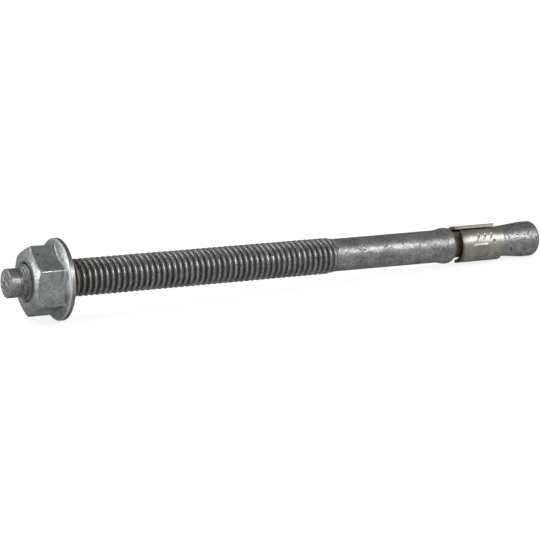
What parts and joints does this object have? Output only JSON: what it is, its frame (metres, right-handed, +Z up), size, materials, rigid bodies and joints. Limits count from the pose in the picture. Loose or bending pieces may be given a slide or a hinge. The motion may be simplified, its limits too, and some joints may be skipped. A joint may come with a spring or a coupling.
{
  "type": "wedge anchor",
  "caption": "Galvanised wedge anchor: threaded stud with flange nut, collar, and split expansion clip on the neck before the tapered end.",
  "frame": {"origin": "on the ground under the middle of the anchor as it lies at rest on its flange and its tapered end", "axes": "+X from the dog point to the tapered end, +Z up; the stud's own axis drops about two degrees towards +X"},
  "size_m": [0.1588, 0.021, 0.021],
  "materials": {
    "zinc_stud": "hot-dip galvanised, mottled grey",
    "zinc_nut": "hot-dip galvanised, lighter grey",
    "clip_steel": "bare rolled sheet, warm grey"
  },
  "bodies": {
    "stud": {"stud": "zinc_stud"},
    "nut": {"nut": "zinc_nut"},
    "clip": {"clip": "clip_steel"}
  },
  "joints": [
    {"name": "nut_travel", "type": "slide", "parent": "stud", "child": "nut", "axis": [0.9992, 0, -0.039], "range_m": [-0.00535, 0.0773]},
    {"name": "clip_turn", "type": "hinge", "parent": "stud", "child": "clip", "pos_m": [0.05975, 0, 0.00562], "axis": [0.9992, 0, -0.039], "continuous": true}
  ]
}
